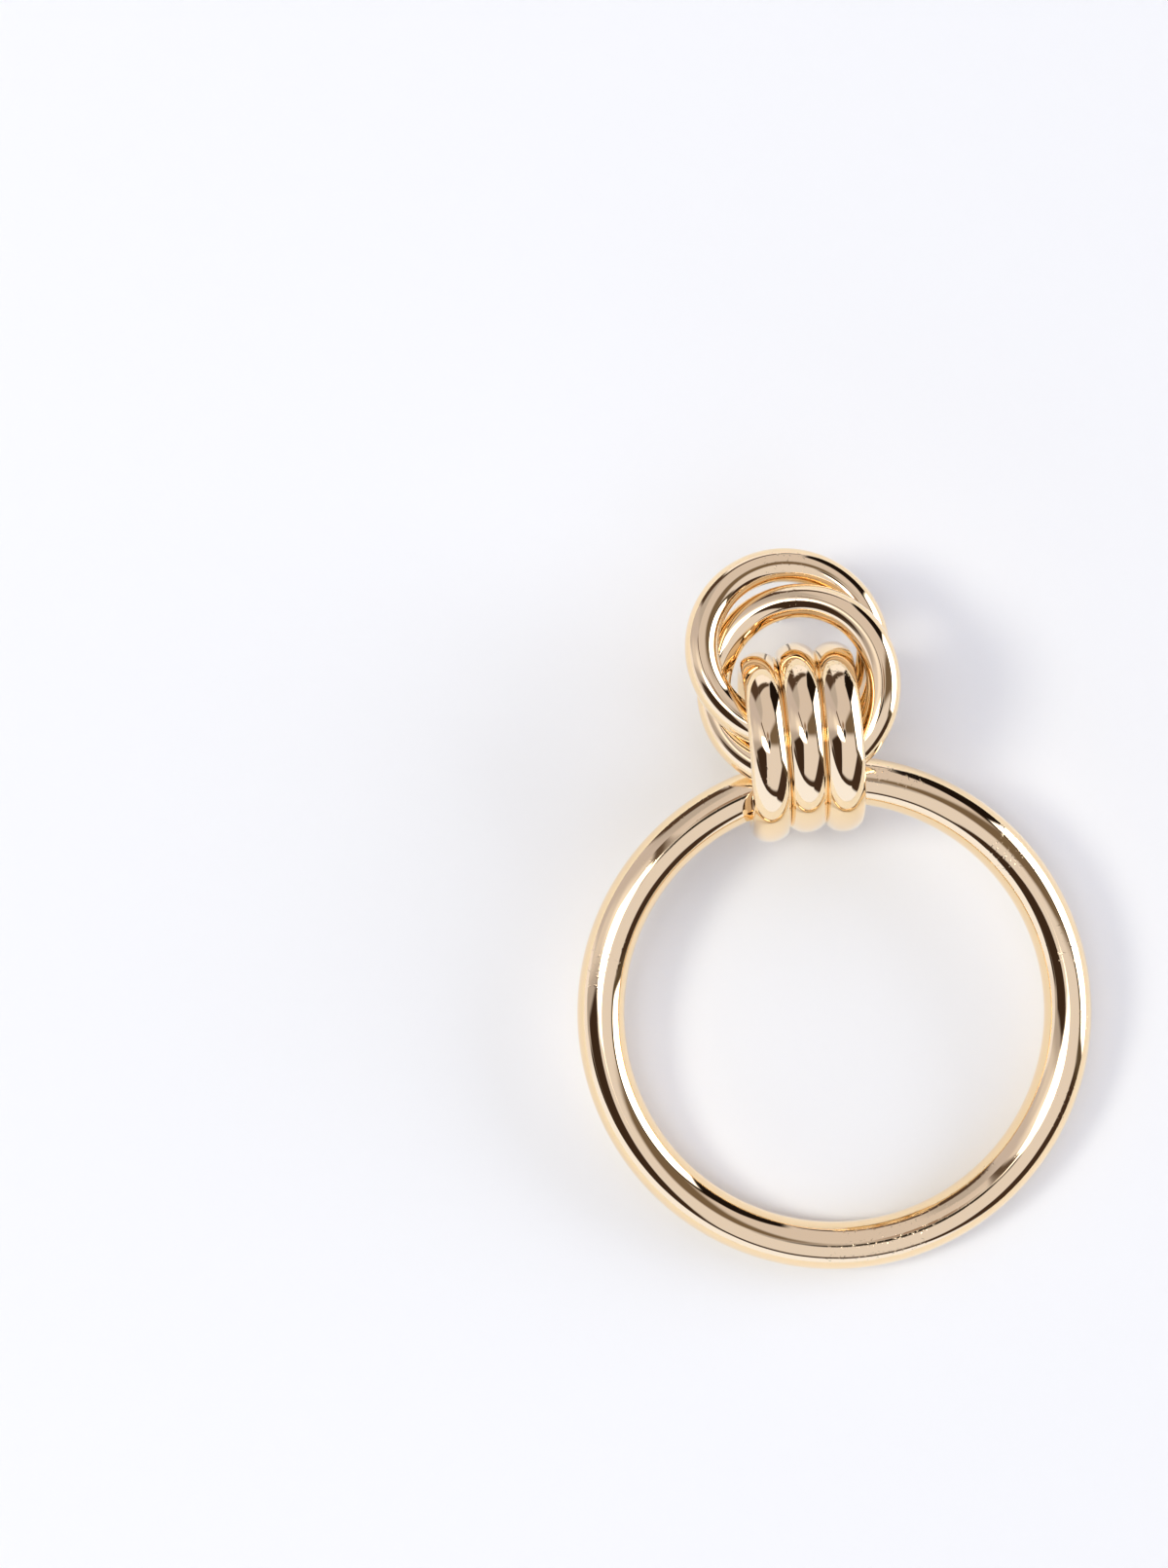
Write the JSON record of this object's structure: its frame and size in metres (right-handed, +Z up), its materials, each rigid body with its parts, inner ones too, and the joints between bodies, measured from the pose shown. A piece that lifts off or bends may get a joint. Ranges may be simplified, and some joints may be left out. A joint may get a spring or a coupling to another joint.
{
  "type": "doorknocker earring",
  "caption": "Doorknocker earring: a plain round hoop hung by a broad ringed bail from a knot of linked rings, with a straight ear post on the knot's back.",
  "frame": {"origin": "on the surface the earring lies on, under the middle of its bounding box", "axes": "+Y from the hoop to the knot along the earring's length, +Z up, out of its face as it lies face up"},
  "size_m": [0.0573, 0.08, 0.0212],
  "materials": {
    "gold_plate": "mirror-polished pale warm gold plating",
    "post_steel": "plain drawn steel wire, satin"
  },
  "bodies": {
    "root": {"hoop": "gold_plate", "bail": "gold_plate", "knot_rings": "gold_plate", "ear_post": "post_steel"}
  },
  "joints": []
}
